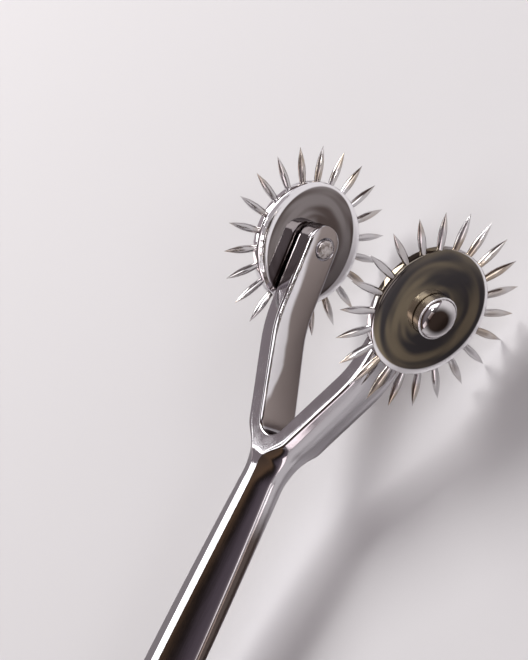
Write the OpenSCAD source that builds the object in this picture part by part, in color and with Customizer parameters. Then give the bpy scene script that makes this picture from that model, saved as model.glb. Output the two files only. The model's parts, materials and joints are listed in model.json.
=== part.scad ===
// Double neurological pinwheel: a forged steel handle that forks into two ears,
// with a needle wheel running free on a riveted axle on the outer side of each ear.
// The part lies at rest as on a table: on the needles of both wheels and on the butt.
// X runs along the handle towards the wheels, Z is up, and the sides mirror about y = 0.

/* [Handle] */
// Length from the wheel axles to the end of the butt
axle_to_butt = 174; // [150:1:190]
// Width of the handle where it is widest
handle_w = 13.3; // [12:0.1:15]
// Thickness of the handle where it is thickest
handle_t = 8.2; // [7.6:0.1:9]
// Distance of the widest place from the axles
swell_reach = 100; // [90:1:110]
// Width of the flat strip along the front and the back
strip_w = 1.7; // [1:0.1:3]
// Slope of the four broad facets beside the strips, in degrees
facet_angle = 30; // [25:1:35]
// Radius of the long curve of the sides, from the neck to the widest place
side_r = 800; // [700:10:1200]
// Radius of the long curve of the strips, from the neck to the widest place
strip_r = 2000; // [1500:50:4000]
// Radius of the long curve of the sides, from the widest place to the butt
tail_side_r = 1800; // [1400:50:3000]
// Radius of the long curve of the strips, from the widest place to the butt
tail_strip_r = 5000; // [3000:100:9000]
// Corner radius of the butt, seen from the front
butt_corner_r = 4; // [3:0.1:4.5]
// Corner radius of the butt, seen from the side
butt_edge_r = 2.6; // [1.5:0.1:3]

/* [Fork] */
// Thickness of the arms and ears
arm_t = 3.5; // [3:0.1:4]
// Depth of the arms from front to back
arm_depth = 7.5; // [7:0.1:8]
// Depth of the ears from front to back, at the axles
ear_depth = 6.6; // [6:0.1:7]
// Distance that the round end of an ear reaches past its axle
ear_reach = 4; // [3.6:0.1:5]
// Angle between each arm and the handle, in degrees
arm_angle = 27.5; // [24:0.5:30]
// Distance from the axles back to the bottom of the crotch
crotch_reach = 28.9; // [27:0.1:31]
// Radius of the bottom of the crotch
crotch_r = 3.3; // [2.5:0.1:4]
// Radius of the bend from arm to ear, at mid thickness
bend_r = 17; // [8:0.5:17]
// Radius of the hollow between the handle's side and an arm
neck_r = 14; // [10:0.5:18]
// Distance from the axles back to where the handle starts to swell into the fork
cove_reach = 36; // [34:0.5:38]
// Radius of the hollow that rises from the facets to the flat face of the fork
cove_r = 12; // [10:0.5:14]
// Distance of the axles behind the middle plane of the forging
axle_set_back = 0.45; // [0:0.05:1]

/* [Wheels] */
// Distance between the inner faces of the discs, measured through the axles
disc_gap = 31.3; // [30:0.1:33]
// Angle that each wheel toes out, in degrees
splay = 6.35; // [4:0.05:9]
// Diameter of a disc
disc_d = 20.8; // [18:0.1:23]
// Thickness of a disc
disc_t = 2.2; // [2:0.1:2.6]
// Radius of the rolled edges of a disc
disc_edge_r = 0.5; // [0.2:0.05:0.8]
// Distance that a needle stands out of the rim
needle_reach = 5.8; // [5:0.1:6.6]
// Height of the needles above the inner face of the disc
needle_height = 1.3; // [1:0.05:1.4]
// Depth that a needle is pressed into the rim
needle_seat = 2.2; // [1.5:0.1:3]
// Diameter of a needle where it is seated
needle_root_d = 1; // [0.8:0.05:1.1]
// Diameter of a needle at its belly
needle_d = 1.25; // [1.1:0.05:1.4]
// Angle of the first needle of the right wheel from the handle's line, in degrees
right_turn = 9.6; // [0:0.1:16]
// Angle of the first needle of the left wheel from the handle's line, in degrees
left_turn = 15.2; // [0:0.1:16]

/* [Axles] */
// Diameter of a rivet's shank
axle_d = 3.1; // [2.8:0.1:3.4]
// Diameter of the bore of a disc
bore_d = 3.2; // [3.15:0.01:3.24]
// Space between an ear and its disc
ear_gap = 0.35; // [0.3:0.05:0.6]
// Thickness of the thrust washer in that space
washer_t = 0.25; // [0.2:0.01:0.27]
// Outer diameter of the washer
washer_d = 5.6; // [5:0.1:6]
// Diameter of a rivet's head
head_d = 6.9; // [6:0.1:7.5]
// Height of the straight side of the head
head_side_h = 1.5; // [1:0.1:2]
// Diameter of the dome on the head
dome_d = 4.9; // [4:0.1:5.2]
// Height of the dome above the head's shoulder
dome_h = 0.85; // [0.5:0.05:1.2]
// Distance that the peened end stands proud of the ear
peen_h = 0.35; // [0.2:0.05:0.5]

/* [Hidden] */
needle_count = 22;
$fn = 96;
needle_fn = 24;
arc_steps = 8;
long_steps = 8;

// Distance that a cut runs past the face that it opens
cut_over = 1;
// Space that the open ends of the outlines leave round the fork, and the length of the cuts
open_margin = disc_gap / 2 + arm_depth;
slab_h = 2 * (disc_gap + arm_depth);

steel = [0.78, 0.78, 0.80];
bright_steel = [0.86, 0.86, 0.88];
needle_steel = [0.72, 0.71, 0.72];

// Clearance under the rivet's head, and the hollow round its peened end
head_gap = 0.08;
peen_groove_d = 4;
peen_groove_h = 0.4;
head_shoulder_h = 0.55;

// Places of the belly along the needle, from 0 at the rim to 1 at the tip
belly_at = 0.38;
point_power = 1.7;
point_r = 0.03;
needle_steps = 8;
tip_d = disc_d + 2 * needle_reach;

// Lines of the left arm in the plane of the fork: p lies on a line where p * normal = offset
arm_dir = [cos(arm_angle), sin(arm_angle)];
arm_normal = [-sin(arm_angle), cos(arm_angle)];
ear_dir = [cos(splay), sin(splay)];
ear_normal = [-sin(splay), cos(splay)];
crotch_centre = [crotch_r - crotch_reach, 0];
arm_inner = crotch_centre * arm_normal + crotch_r;
arm_middle = arm_inner + arm_t / 2;
arm_outer = arm_inner + arm_t;
ear_outer = disc_gap / 2 * cos(splay) - ear_gap;
ear_middle = ear_outer - arm_t / 2;

// Bend from arm to ear
turn = arm_angle - splay;
line_cross = arm_normal[0] * ear_normal[1] - arm_normal[1] * ear_normal[0];
bend_corner = [
    (arm_middle * ear_normal[1] - ear_middle * arm_normal[1]) / line_cross,
    (arm_normal[0] * ear_middle - ear_normal[0] * arm_middle) / line_cross
];
bend_tangent = bend_r * tan(turn / 2);
bend_start = bend_corner - bend_tangent * arm_dir;
bend_end = bend_corner + bend_tangent * ear_dir;
bend_centre = bend_start - bend_r * arm_normal;

// Hollow between the handle's side and the arm: a circle that touches both
side_centre = [-swell_reach, handle_w / 2 - side_r];
neck_foot = (arm_outer + neck_r) * arm_normal;
neck_b = (neck_foot - side_centre) * arm_dir;
neck_c = (neck_foot - side_centre) * (neck_foot - side_centre) - pow(side_r + neck_r, 2);
neck_centre = neck_foot + (-neck_b + sqrt(neck_b * neck_b - neck_c)) * arm_dir;
neck_side_touch = side_centre + side_r / (side_r + neck_r) * (neck_centre - side_centre);

// Half sizes of the handle across its strips and across its broad facets
facet_half = strip_w / 2 * sin(facet_angle) + handle_t / 2 * cos(facet_angle);
facet_r = strip_r / cos(facet_angle);
tail_facet_r = tail_strip_r / cos(facet_angle);
butt_half_t = handle_t / 2 - pow(axle_to_butt - swell_reach, 2) / (2 * tail_strip_r);

// Rest: the lowest needle tips and the lowest edge of the butt touch the table
function tip_angles() = [
    for (i = [0 : needle_count - 1], first = [right_turn, left_turn]) first + i * 360 / needle_count
];
function tip_x(a) = -needle_height * sin(splay) + tip_d / 2 * cos(a) * cos(splay);
function tip_z(a) = tip_d / 2 * sin(a);
function raised_x(x, z, t) = x * cos(t) - z * sin(t);
function raised_z(x, z, t) = x * sin(t) + z * cos(t);
function tips_low(t) = min([for (a = tip_angles()) raised_z(tip_x(a), tip_z(a), t)]);
function tips_front(t) = max([for (a = tip_angles()) raised_x(tip_x(a), tip_z(a), t)]);
function butt_low(t) =
    raised_z(butt_edge_r - axle_to_butt, axle_set_back - butt_half_t + butt_edge_r, t) - butt_edge_r;
function butt_back(t) =
    raised_x(butt_edge_r - axle_to_butt, axle_set_back + butt_half_t - butt_edge_r, t) - butt_edge_r;
function settled(t, rounds) = rounds <= 0 ? t
    : settled(t - atan((tips_low(t) - butt_low(t)) / axle_to_butt), rounds - 1);

first_tilt = 4;
settling_rounds = 6;
rest_tilt = settled(first_tilt, settling_rounds);
rest_x = -(tips_front(rest_tilt) + butt_back(rest_tilt)) / 2;
rest_z = -tips_low(rest_tilt);

echo(rest_tilt = rest_tilt, rest_x = rest_x, rest_z = rest_z);

SIDES = [["right", -1, right_turn], ["left", 1, left_turn]];

// Turns and lifts the fork's own frame, with its axles at the origin, to the rest pose
module at_rest() {
    translate([rest_x, 0, rest_z]) rotate([0, -rest_tilt, 0]) children();
}

// Stands a wheel's own frame at an axle: z = 0 is the disc's inner face, +z points outwards
module at_wheel(side) {
    at_rest()
        translate([0, side * disc_gap / 2, 0])
        rotate([0, 0, side * splay])
        rotate([-side * 90, 0, 0])
        children();
}

// Points of an arc about a centre, from one angle to another
function arc(centre, r, from_a, to_a, steps) = [
    for (k = [0 : steps])
        let (a = from_a + (to_a - from_a) * k / steps)
        centre + r * [cos(a), sin(a)]
];

// Half size of the bar at x, where its long curve has the half size "half" at the widest place
function long_y(half, r, x) = half - r + sqrt(r * r - pow(x + swell_reach, 2));
function long_curve(half, r, from_x, to_x) = [
    for (k = [0 : long_steps])
        let (x = from_x + (to_x - from_x) * k / long_steps)
        [x, long_y(half, r, x)]
];

// Upper edge of the bar from the butt to the place "to_x", with the butt's corner rounded
function bar_edge(half, neck_curve_r, tail_curve_r, corner_r, to_x) =
    let (corner_x = corner_r - axle_to_butt, corner_y = long_y(half, tail_curve_r, corner_x) - corner_r)
    concat(
        arc([corner_x, corner_y], corner_r, 180, 90, arc_steps),
        [for (p = long_curve(half, tail_curve_r, corner_x, -swell_reach)) if (p[0] > corner_x) p],
        [for (p = long_curve(half, neck_curve_r, -swell_reach, to_x)) if (p[0] > -swell_reach) p]
    );

// Rise from the end of the bar's edge into the fork, up to the height "top"
function cove_edge(foot, top) =
    let (centre = [-cove_reach, foot + cove_r], end_a = acos((foot + cove_r - top) / cove_r) - 90)
    [for (p = arc(centre, cove_r, -90, end_a, arc_steps)) if (p[0] > -cove_reach) p];

// Closes an upper edge with its mirror image
module mirrored_outline(edge) {
    last = len(edge) - 1;
    mirrored = [for (k = [0 : last]) let (p = edge[last - k]) if (p[1] > 0) [p[0], -p[1]]];
    polygon(concat(edge, mirrored));
}

// Front view: the edge runs from the butt round the neck and the arm to the ear,
// and back along the inner side of the arm to the bottom of the crotch
module front_outline() {
    half_t = arm_t / 2;
    past_end = ear_reach + 2 * cut_over - bend_end[0];
    touch = neck_side_touch - neck_centre;
    hollow = arc(neck_centre, neck_r, atan2(touch[1], touch[0]), arm_angle - 90, arc_steps);
    mirrored_outline(concat(
        bar_edge(handle_w / 2, side_r, tail_side_r, butt_corner_r, neck_side_touch[0]),
        [for (p = hollow) if (p[0] > neck_side_touch[0]) p],
        arc(bend_centre, bend_r + half_t, arm_angle + 90, splay + 90, arc_steps),
        [bend_end + half_t * ear_normal + past_end * ear_dir],
        [bend_end - half_t * ear_normal + past_end * ear_dir],
        arc(bend_centre, bend_r - half_t, splay + 90, arm_angle + 90, arc_steps),
        arc(crotch_centre, crotch_r, arm_angle + 90, 180, arc_steps)
    ));
}

// Side view, with the round ends of the ears
module side_outline() {
    end_r = ear_depth / 2;
    mirrored_outline(concat(
        bar_edge(handle_t / 2, strip_r, tail_strip_r, butt_edge_r, -cove_reach),
        cove_edge(long_y(handle_t / 2, strip_r, -cove_reach), arm_depth / 2),
        [[bend_start[0], arm_depth / 2]],
        arc([ear_reach - end_r, 0], end_r, 90, 0, arc_steps)
    ));
}

// View along a pair of broad facets, wide open over the fork
module facet_outline() {
    foot = long_y(facet_half, facet_r, -cove_reach);
    mirrored_outline(concat(
        bar_edge(facet_half, facet_r, tail_facet_r, butt_edge_r, -cove_reach),
        cove_edge(foot, foot + cove_r),
        [[cove_r - cove_reach, open_margin], [open_margin, open_margin]]
    ));
}

// Cuts an outline through the forging, seen from the front turned by "angle" about the handle
module slab(angle) {
    rotate([angle, 0, 0]) linear_extrude(height = slab_h, center = true) children();
}

// Hole and peening hollow of one axle, in the wheel's frame turned back to the fork's
module axle_cut(side) {
    translate([0, side * disc_gap / 2, 0])
        rotate([0, 0, side * splay])
        rotate([-side * 90, 0, 0])
        translate([0, 0, -ear_gap - arm_t - cut_over]) {
            cylinder(d = axle_d, h = arm_t + 2 * cut_over);
            cylinder(d = peen_groove_d, h = cut_over + peen_groove_h);
        }
}

// Handle, neck, arms and ears in one forging
module fork_handle() {
    color(steel) at_rest() difference() {
        translate([0, 0, axle_set_back]) intersection() {
            slab(0) front_outline();
            slab(90) side_outline();
            slab(90 - facet_angle) facet_outline();
            slab(90 + facet_angle) facet_outline();
        }
        axle_cut(-1);
        axle_cut(1);
    }
}

// Polished disc with its bore and the seats of the needles in its rim
module disc(side, first) {
    edge_x = disc_d / 2 - disc_edge_r;
    color(bright_steel) at_wheel(side) difference() {
        rotate_extrude() difference() {
            union() {
                square([edge_x, disc_t]);
                translate([0, disc_edge_r]) square([disc_d / 2, disc_t - 2 * disc_edge_r]);
                for (y = [disc_edge_r, disc_t - disc_edge_r]) translate([edge_x, y]) circle(disc_edge_r);
            }
            translate([0, -cut_over]) square([bore_d / 2, disc_t + 2 * cut_over]);
        }
        for (i = [1 : needle_count])
            rotate([0, 0, -side * (first + (i - 1) * 360 / needle_count)])
                translate([disc_d / 2 - needle_seat, 0, needle_height])
                rotate([0, 90, 0])
                cylinder(d = needle_root_d, h = needle_seat + cut_over, $fn = needle_fn);
    }
}

// Radius of a needle at a place from 0 at the rim to 1 at the tip
function needle_r(u) = u < belly_at
    ? needle_d / 2 - (needle_d - needle_root_d) / 2 * pow(1 - u / belly_at, 2)
    : max(point_r, needle_d / 2 * (1 - pow((u - belly_at) / (1 - belly_at), point_power)));

// One spindle-shaped needle, seated in the rim and pointing outwards
module needle(side, first, i) {
    color(needle_steel) at_wheel(side)
        rotate([0, 0, -side * (first + (i - 1) * 360 / needle_count)])
        translate([disc_d / 2, 0, needle_height])
        rotate([0, 90, 0])
        rotate_extrude($fn = needle_fn)
        polygon(concat(
            [[0, -needle_seat], [needle_root_d / 2, -needle_seat]],
            [for (k = [0 : needle_steps]) [needle_r(k / needle_steps), needle_reach * k / needle_steps]],
            [[0, needle_reach]]
        ));
}

// Shoulder rivet: domed head outside the disc, shank through disc and ear, peened inner end
module axle_rivet(side) {
    head_z = disc_t + head_gap;
    shoulder_z = head_z + head_side_h;
    dome_z = shoulder_z + head_shoulder_h;
    end_z = -ear_gap - arm_t - peen_h;
    dome_r = (pow(dome_d / 2, 2) + dome_h * dome_h) / (2 * dome_h);
    dome_steps = 6;
    dome_span = asin(dome_d / 2 / dome_r);
    end_bevel = 0.3;
    color(bright_steel) at_wheel(side) rotate_extrude() polygon(concat(
        [
            [0, end_z], [axle_d / 2 - end_bevel, end_z], [axle_d / 2, end_z + end_bevel],
            [axle_d / 2, head_z], [head_d / 2, head_z], [head_d / 2, shoulder_z]
        ],
        [
            for (k = [dome_steps : -1 : 0])
                let (a = dome_span * k / dome_steps)
                [dome_r * sin(a), dome_z + dome_h - dome_r * (1 - cos(a))]
        ]
    ));
}

// Thin washer that keeps the disc off the ear
module thrust_washer(side) {
    color(steel) at_wheel(side)
        translate([0, 0, -ear_gap])
        difference() {
            cylinder(d = washer_d, h = washer_t);
            translate([0, 0, -cut_over]) cylinder(d = bore_d, h = washer_t + 2 * cut_over);
        }
}

fork_handle();
for (s = SIDES) {
    disc(s[1], s[2]);
    axle_rivet(s[1]);
    thrust_washer(s[1]);
    for (i = [1 : needle_count])
        needle(s[1], s[2], i);
}
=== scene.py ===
"""Double-headed neurological pinwheel: the looks of a chromed forging with two needle wheels.

Every size is a real one in millimetres, in the fork's own frame: the axles are at the origin,
x runs along the handle towards the wheels, y points to the left wheel and z to the front.
"""

from __future__ import annotations

import json
import logging
import math
from abc import ABC, abstractmethod
from dataclasses import dataclass
from enum import Enum
from typing import Iterable, Sequence

import bmesh
import bpy
from bmesh.types import BMEdge, BMesh, BMVert
from bpy.types import Material, Node, NodeSocket, NodeTree, Object, World
from mathutils import Matrix, Vector

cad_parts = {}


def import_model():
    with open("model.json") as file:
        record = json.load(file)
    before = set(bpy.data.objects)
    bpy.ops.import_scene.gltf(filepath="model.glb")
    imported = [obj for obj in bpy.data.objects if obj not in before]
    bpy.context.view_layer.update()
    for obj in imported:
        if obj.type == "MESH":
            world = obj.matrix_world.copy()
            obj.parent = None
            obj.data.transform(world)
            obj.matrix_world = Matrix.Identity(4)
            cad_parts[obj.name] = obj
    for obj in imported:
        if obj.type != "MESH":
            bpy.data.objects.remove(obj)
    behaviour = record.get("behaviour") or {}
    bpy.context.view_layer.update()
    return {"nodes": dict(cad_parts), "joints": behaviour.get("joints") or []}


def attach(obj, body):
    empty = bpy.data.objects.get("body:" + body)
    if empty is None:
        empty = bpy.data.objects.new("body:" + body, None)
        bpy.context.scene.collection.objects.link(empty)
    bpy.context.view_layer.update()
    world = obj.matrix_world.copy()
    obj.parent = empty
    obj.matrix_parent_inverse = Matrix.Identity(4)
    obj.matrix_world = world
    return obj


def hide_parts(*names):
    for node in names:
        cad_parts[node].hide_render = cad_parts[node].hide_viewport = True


log = logging.getLogger("pinwheel")

METRES_PER_MM = 0.001
# Points of one surface that are nearer than this are one point, in millimetres
MERGE_MM = 1e-4
# Points of two surfaces that meet are joined from this distance
SEAM_MM = 1e-3
# Edges that turn by more than this are sharp, in degrees
SHARP_DEG = 38.0
# Largest share of a straight run that one rounded corner takes
CORNER_SHARE = 0.47
# Colour of a metal's reflection at a grazing angle
GRAZING_TINT = "#A39FA1"

Point2 = tuple[float, float]
Point3 = tuple[float, float, float]
# Nodes of a finish's colour and roughness, and a node and a height in millimetres for each relief
Patterns = tuple[Node, Node, list[tuple[Node, float]]]


class Side(Enum):
    """The two sides of the fork. The value is the sign of y."""

    RIGHT = -1
    LEFT = 1

    @property
    def label(self) -> str:
        """Name of the side, as the nodes of the model use it."""
        return self.name.lower()


# Small helpers for numbers, places and colours


def smooth_ramp(x: float, start: float, end: float) -> float:
    """Rises smoothly from 0 at start to 1 at end.

    Args:
        x: Place to look at.
        start: Place where the ramp begins.
        end: Place where the ramp is complete.

    Returns:
        A share from 0 to 1.
    """
    t = min(1.0, max(0.0, (x - start) / (end - start)))
    return t * t * (3 - 2 * t)


def mix(a: float, b: float, t: float) -> float:
    """Value between a and b at the share t."""
    return a + (b - a) * t


def heading(degrees: float) -> Vector:
    """Direction in the plane of the fork, at an angle from x towards y."""
    return Vector((math.cos(math.radians(degrees)), math.sin(math.radians(degrees))))


def basis(x_axis: Vector, y_axis: Vector, z_axis: Vector) -> Matrix:
    """Rotation whose columns are the three axes."""
    return Matrix((x_axis, y_axis, z_axis)).transposed().to_4x4()


def srgb(code: str) -> tuple[float, float, float, float]:
    """Turns an sRGB hex colour into the linear colour that shaders take.

    Args:
        code: A hash and six hex digits.

    Returns:
        Linear red, green and blue, and an alpha of 1.
    """
    channels = [int(code[i:i + 2], 16) / 255 for i in (1, 3, 5)]
    linear = [c / 12.92 if c <= 0.04045 else ((c + 0.055) / 1.055) ** 2.4 for c in channels]
    return (linear[0], linear[1], linear[2], 1.0)


def arc(centre: Point2, radius: float, start: float, end: float, steps: int) -> list[Point2]:
    """Points of an arc, both ends included.

    Args:
        centre: Centre of the circle.
        radius: Radius of the circle.
        start: First angle, in degrees.
        end: Last angle, in degrees.
        steps: Number of spaces between the points.

    Returns:
        steps + 1 points.
    """
    angles = [math.radians(mix(start, end, k / steps)) for k in range(steps + 1)]
    return [(centre[0] + radius * math.cos(a), centre[1] + radius * math.sin(a)) for a in angles]


def rounded_chain(
    corners: Sequence[Point2],
    radii: Sequence[float],
    crowns: Sequence[float],
    steps: int,
    flats: Sequence[float],
) -> list[Point2]:
    """Rounds the inner corners of an open outline and crowns the straight runs between them.

    Args:
        corners: Corners of the outline. The first and last only give directions.
        radii: Radius at each inner corner, shortened where the runs are too short.
        crowns: Height of the crown on each run between two inner corners.
        steps: Number of segments on each rounded corner.
        flats: Shares of a run at which it gets a point.

    Returns:
        The points from the start of the first round to the end of the last one.
    """
    points = [Vector(c) for c in corners]
    rounds = []
    for before, corner, after, radius in zip(points, points[1:], points[2:], radii):
        back, on = before - corner, after - corner
        slope = math.tan((math.pi - back.angle(on)) / 2)
        tangent = min(radius * slope, CORNER_SHARE * back.length, CORNER_SHARE * on.length)
        back, on = back.normalized(), on.normalized()
        centre = corner + (back + on).normalized() * math.hypot(tangent / slope, tangent)
        first, last = corner + back * tangent - centre, corner + on * tangent - centre
        span = first.angle_signed(last)
        rounds.append([centre + Matrix.Rotation(-span * k / steps, 2) @ first for k in range(steps + 1)])
    chain = list(rounds[0])
    for before, after, crown in zip(rounds, rounds[1:], crowns):
        start, along = before[-1], after[0] - before[-1]
        outwards = Vector((-along.y, along.x)).normalized()
        chain += [start + along * t + outwards * crown * 4 * t * (1 - t) for t in flats]
        chain += after
    return [(p.x, p.y) for p in chain]


@dataclass(frozen=True)
class Placement:
    """Places the fork's frame and the wheels' frames in the shared frame, from the model's joints.

    Attributes:
        fork: Turns millimetres of the fork's frame into metres of the shared frame.
        wheels: The same for each wheel, whose z = 0 is the disc's inner face, with +z outwards.
    """

    fork: Matrix
    wheels: dict[Side, Matrix]

    @classmethod
    def from_joints(cls, joints: Iterable[dict], disc_t: float) -> Placement:
        """Works the placement out.

        Args:
            joints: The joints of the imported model.
            disc_t: Thickness of a disc, in millimetres.

        Returns:
            The placement.
        """
        found = {j["name"]: j for j in joints}
        spins = {s: found[f"{s.label}_wheel_spin"] for s in Side}
        axes = {s: Vector(spins[s]["axis"]).normalized() for s in Side}
        faces = {s: Vector(spins[s]["pos_m"]) - axes[s] * disc_t / 2 * METRES_PER_MM for s in Side}
        origin = (faces[Side.LEFT] + faces[Side.RIGHT]) / 2
        x_axis = -(axes[Side.LEFT] + axes[Side.RIGHT]).normalized()
        y_axis = (axes[Side.LEFT] - axes[Side.RIGHT]).normalized()
        z_axis = x_axis.cross(y_axis)
        to_metres = Matrix.Scale(METRES_PER_MM, 4)
        fork = Matrix.Translation(origin) @ basis(x_axis, y_axis, z_axis) @ to_metres
        wheels = {}
        for side, axis in axes.items():
            along = z_axis.cross(axis)
            turned = basis(along, axis.cross(along), axis)
            wheels[side] = Matrix.Translation(faces[side]) @ turned @ to_metres
        return cls(fork, wheels)


# Meshes


def loft(bm: BMesh, rings: Sequence[Sequence[Vector]], closed: bool) -> None:
    """Extrudes a first section through the others.

    Args:
        bm: Mesh that takes the surface.
        rings: Sections with the same number of points each.
        closed: Whether the last point of a section joins its first.
    """
    row = [bm.verts.new(p) for p in rings[0]]
    pairs = list(zip(row, row[1:])) + ([(row[-1], row[0])] if closed else [])
    edges = [bm.edges.new(pair) for pair in pairs]
    for ring in rings[1:]:
        made = bmesh.ops.extrude_edge_only(bm, edges=edges)["geom"]
        fresh = {g for g in made if isinstance(g, BMVert)}
        row = [next(e.other_vert(v) for e in v.link_edges if e.other_vert(v) in fresh) for v in row]
        for vert, place in zip(row, ring):
            vert.co = place
        edges = [g for g in made if isinstance(g, BMEdge) and set(g.verts) <= fresh]


def lathe(bm: BMesh, profile: Sequence[Point2], steps: int) -> None:
    """Spins a profile round the z axis into a closed skin.

    Args:
        bm: Mesh that takes the skin.
        profile: Radius and height of each point, from one end to the other.
        steps: Number of faces round the axis.
    """
    verts = [bm.verts.new((r, 0.0, z)) for r, z in profile]
    edges = [bm.edges.new(pair) for pair in zip(verts, verts[1:])]
    bmesh.ops.spin(
        bm, geom=verts + edges, cent=(0, 0, 0), axis=(0, 0, 1), angle=2 * math.pi, steps=steps,
        use_merge=True, use_duplicate=False,
    )
    bmesh.ops.remove_doubles(bm, verts=bm.verts, dist=MERGE_MM)
    bmesh.ops.dissolve_degenerate(bm, edges=bm.edges, dist=MERGE_MM)
    bmesh.ops.recalc_face_normals(bm, faces=bm.faces)


def make_piece(name: str, bm: BMesh, place: Matrix, materials: Sequence[Material]) -> Object:
    """Turns a finished bmesh into a smooth-shaded piece whose place is in its mesh.

    Args:
        name: Name of the piece.
        bm: The mesh in millimetres, freed afterwards.
        place: Matrix from the mesh's frame to the shared frame.
        materials: Materials of its slots.

    Returns:
        The new object.
    """
    bmesh.ops.transform(bm, matrix=place, verts=bm.verts)
    for face in bm.faces:
        face.smooth = True
    mesh = bpy.data.meshes.new(name)
    bm.to_mesh(mesh)
    bm.free()
    for material in materials:
        mesh.materials.append(material)
    mesh.set_sharp_from_angle(angle=math.radians(SHARP_DEG))
    piece = bpy.data.objects.new(name, mesh)
    bpy.context.scene.collection.objects.link(piece)
    return piece


def cut_away(piece: Object, cutters: Sequence[Object]) -> None:
    """Cuts other solids out of a piece, and removes them.

    Args:
        piece: The piece that is cut.
        cutters: The solids to take away.
    """
    for cutter in cutters:
        modifier = piece.modifiers.new("cut", "BOOLEAN")
        modifier.operation = "DIFFERENCE"
        modifier.solver = "EXACT"
        modifier.object = cutter
    bpy.context.view_layer.update()
    graph = bpy.context.evaluated_depsgraph_get()
    mesh = bpy.data.meshes.new_from_object(piece.evaluated_get(graph))
    piece.modifiers.clear()
    old, piece.data = piece.data, mesh
    mesh.name = old.name
    bpy.data.meshes.remove(old)
    mesh.set_sharp_from_angle(angle=math.radians(SHARP_DEG))
    for cutter in cutters:
        bpy.data.objects.remove(cutter)


# Materials


def empty_tree(owner: Material | World) -> NodeTree:
    """Turns on the nodes of a material or a world, and clears them.

    Args:
        owner: The material or world.

    Returns:
        Its empty node tree.
    """
    owner.use_nodes = True
    owner.node_tree.nodes.clear()
    return owner.node_tree


def add_node(tree: NodeTree, kind: str, inputs: dict | Sequence = (), **settings: object) -> Node:
    """Adds one shader node with its settings and links.

    Args:
        tree: Node tree that takes it.
        kind: Blender's name of the node type, after ShaderNode.
        inputs: What each input gets, by its name or number, or as a list in the inputs' order:
            a value, a socket, or a node whose first live output is linked.
        settings: Values of the node's own properties.

    Returns:
        The node.
    """
    node = tree.nodes.new(f"ShaderNode{kind}")
    for name, value in settings.items():
        setattr(node, name, value)
    for name, value in inputs.items() if isinstance(inputs, dict) else enumerate(inputs):
        if isinstance(value, Node):
            value = next(socket for socket in value.outputs if socket.enabled)
        if isinstance(value, NodeSocket):
            tree.links.new(value, node.inputs[name])
        else:
            node.inputs[name].default_value = value
    return node


def pattern_frame(tree: NodeTree, place: Matrix) -> Node:
    """Object coordinates turned into millimetres of a frame of their own.

    Args:
        tree: Node tree that takes the nodes.
        place: Matrix from that frame, in millimetres, to the shared frame.

    Returns:
        Node of the coordinates.
    """
    location, rotation, scale = place.decompose()
    seen = add_node(tree, "TexCoord").outputs["Object"]
    return add_node(tree, "Mapping", [seen, location, rotation.to_euler(), scale], vector_type="TEXTURE")


def off_axle(
    tree: NodeTree, at: Node, middle: Point2 = (0.0, 0.0), squeeze: Point2 = (1.0, 1.0)
) -> Node:
    """Distance from a wheel's axle, or from a line beside it.

    Args:
        tree: Node tree that takes the nodes.
        at: Coordinates in millimetres of the wheel's frame.
        middle: Where the line crosses the wheel.
        squeeze: Factor by which the distance counts along each direction.

    Returns:
        Node of the distance.
    """
    beside = add_node(tree, "VectorMath", [at, (*middle, 0.0)], operation="SUBTRACT")
    flat = add_node(tree, "VectorMath", [beside, (*squeeze, 0.0)], operation="MULTIPLY")
    return add_node(tree, "VectorMath", [flat], operation="LENGTH")


@dataclass(frozen=True)
class MetalFinish(ABC):
    """A metal whose patterns are drawn in millimetres of the fork's or of a wheel's frame.

    The heights of its reliefs are those of a noise's full range, of which the noise uses a part.

    Attributes:
        name: Name of the material.
    """

    name: str

    @abstractmethod
    def patterns(self, tree: NodeTree, at: Node) -> Patterns:
        """Draws the colour, the roughness and the reliefs.

        Args:
            tree: Node tree that takes the nodes.
            at: Coordinates in millimetres.

        Returns:
            The patterns.
        """

    def build(self, place: Matrix, side: Side | None = None) -> Material:
        """Makes the material.

        Args:
            place: Matrix from the patterns' frame, in millimetres, to the shared frame.
            side: Side of the wheel that has the material to itself, or None.

        Returns:
            The material.
        """
        material = bpy.data.materials.new(self.name if side is None else f"{side.label}_{self.name}")
        tree = empty_tree(material)
        colour, rough, reliefs = self.patterns(tree, pattern_frame(tree, place))
        normal = {}
        for height, height_mm in reliefs:
            bump = {"Height": height, "Distance": height_mm * METRES_PER_MM, **normal}
            normal = {"Normal": add_node(tree, "Bump", bump)}
        shader = add_node(tree, "BsdfPrincipled", {
            "Base Color": colour, "Roughness": rough, "Metallic": 1.0,
            "Specular Tint": srgb(GRAZING_TINT), **normal,
        })
        add_node(tree, "OutputMaterial", {"Surface": shader})
        return material


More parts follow.
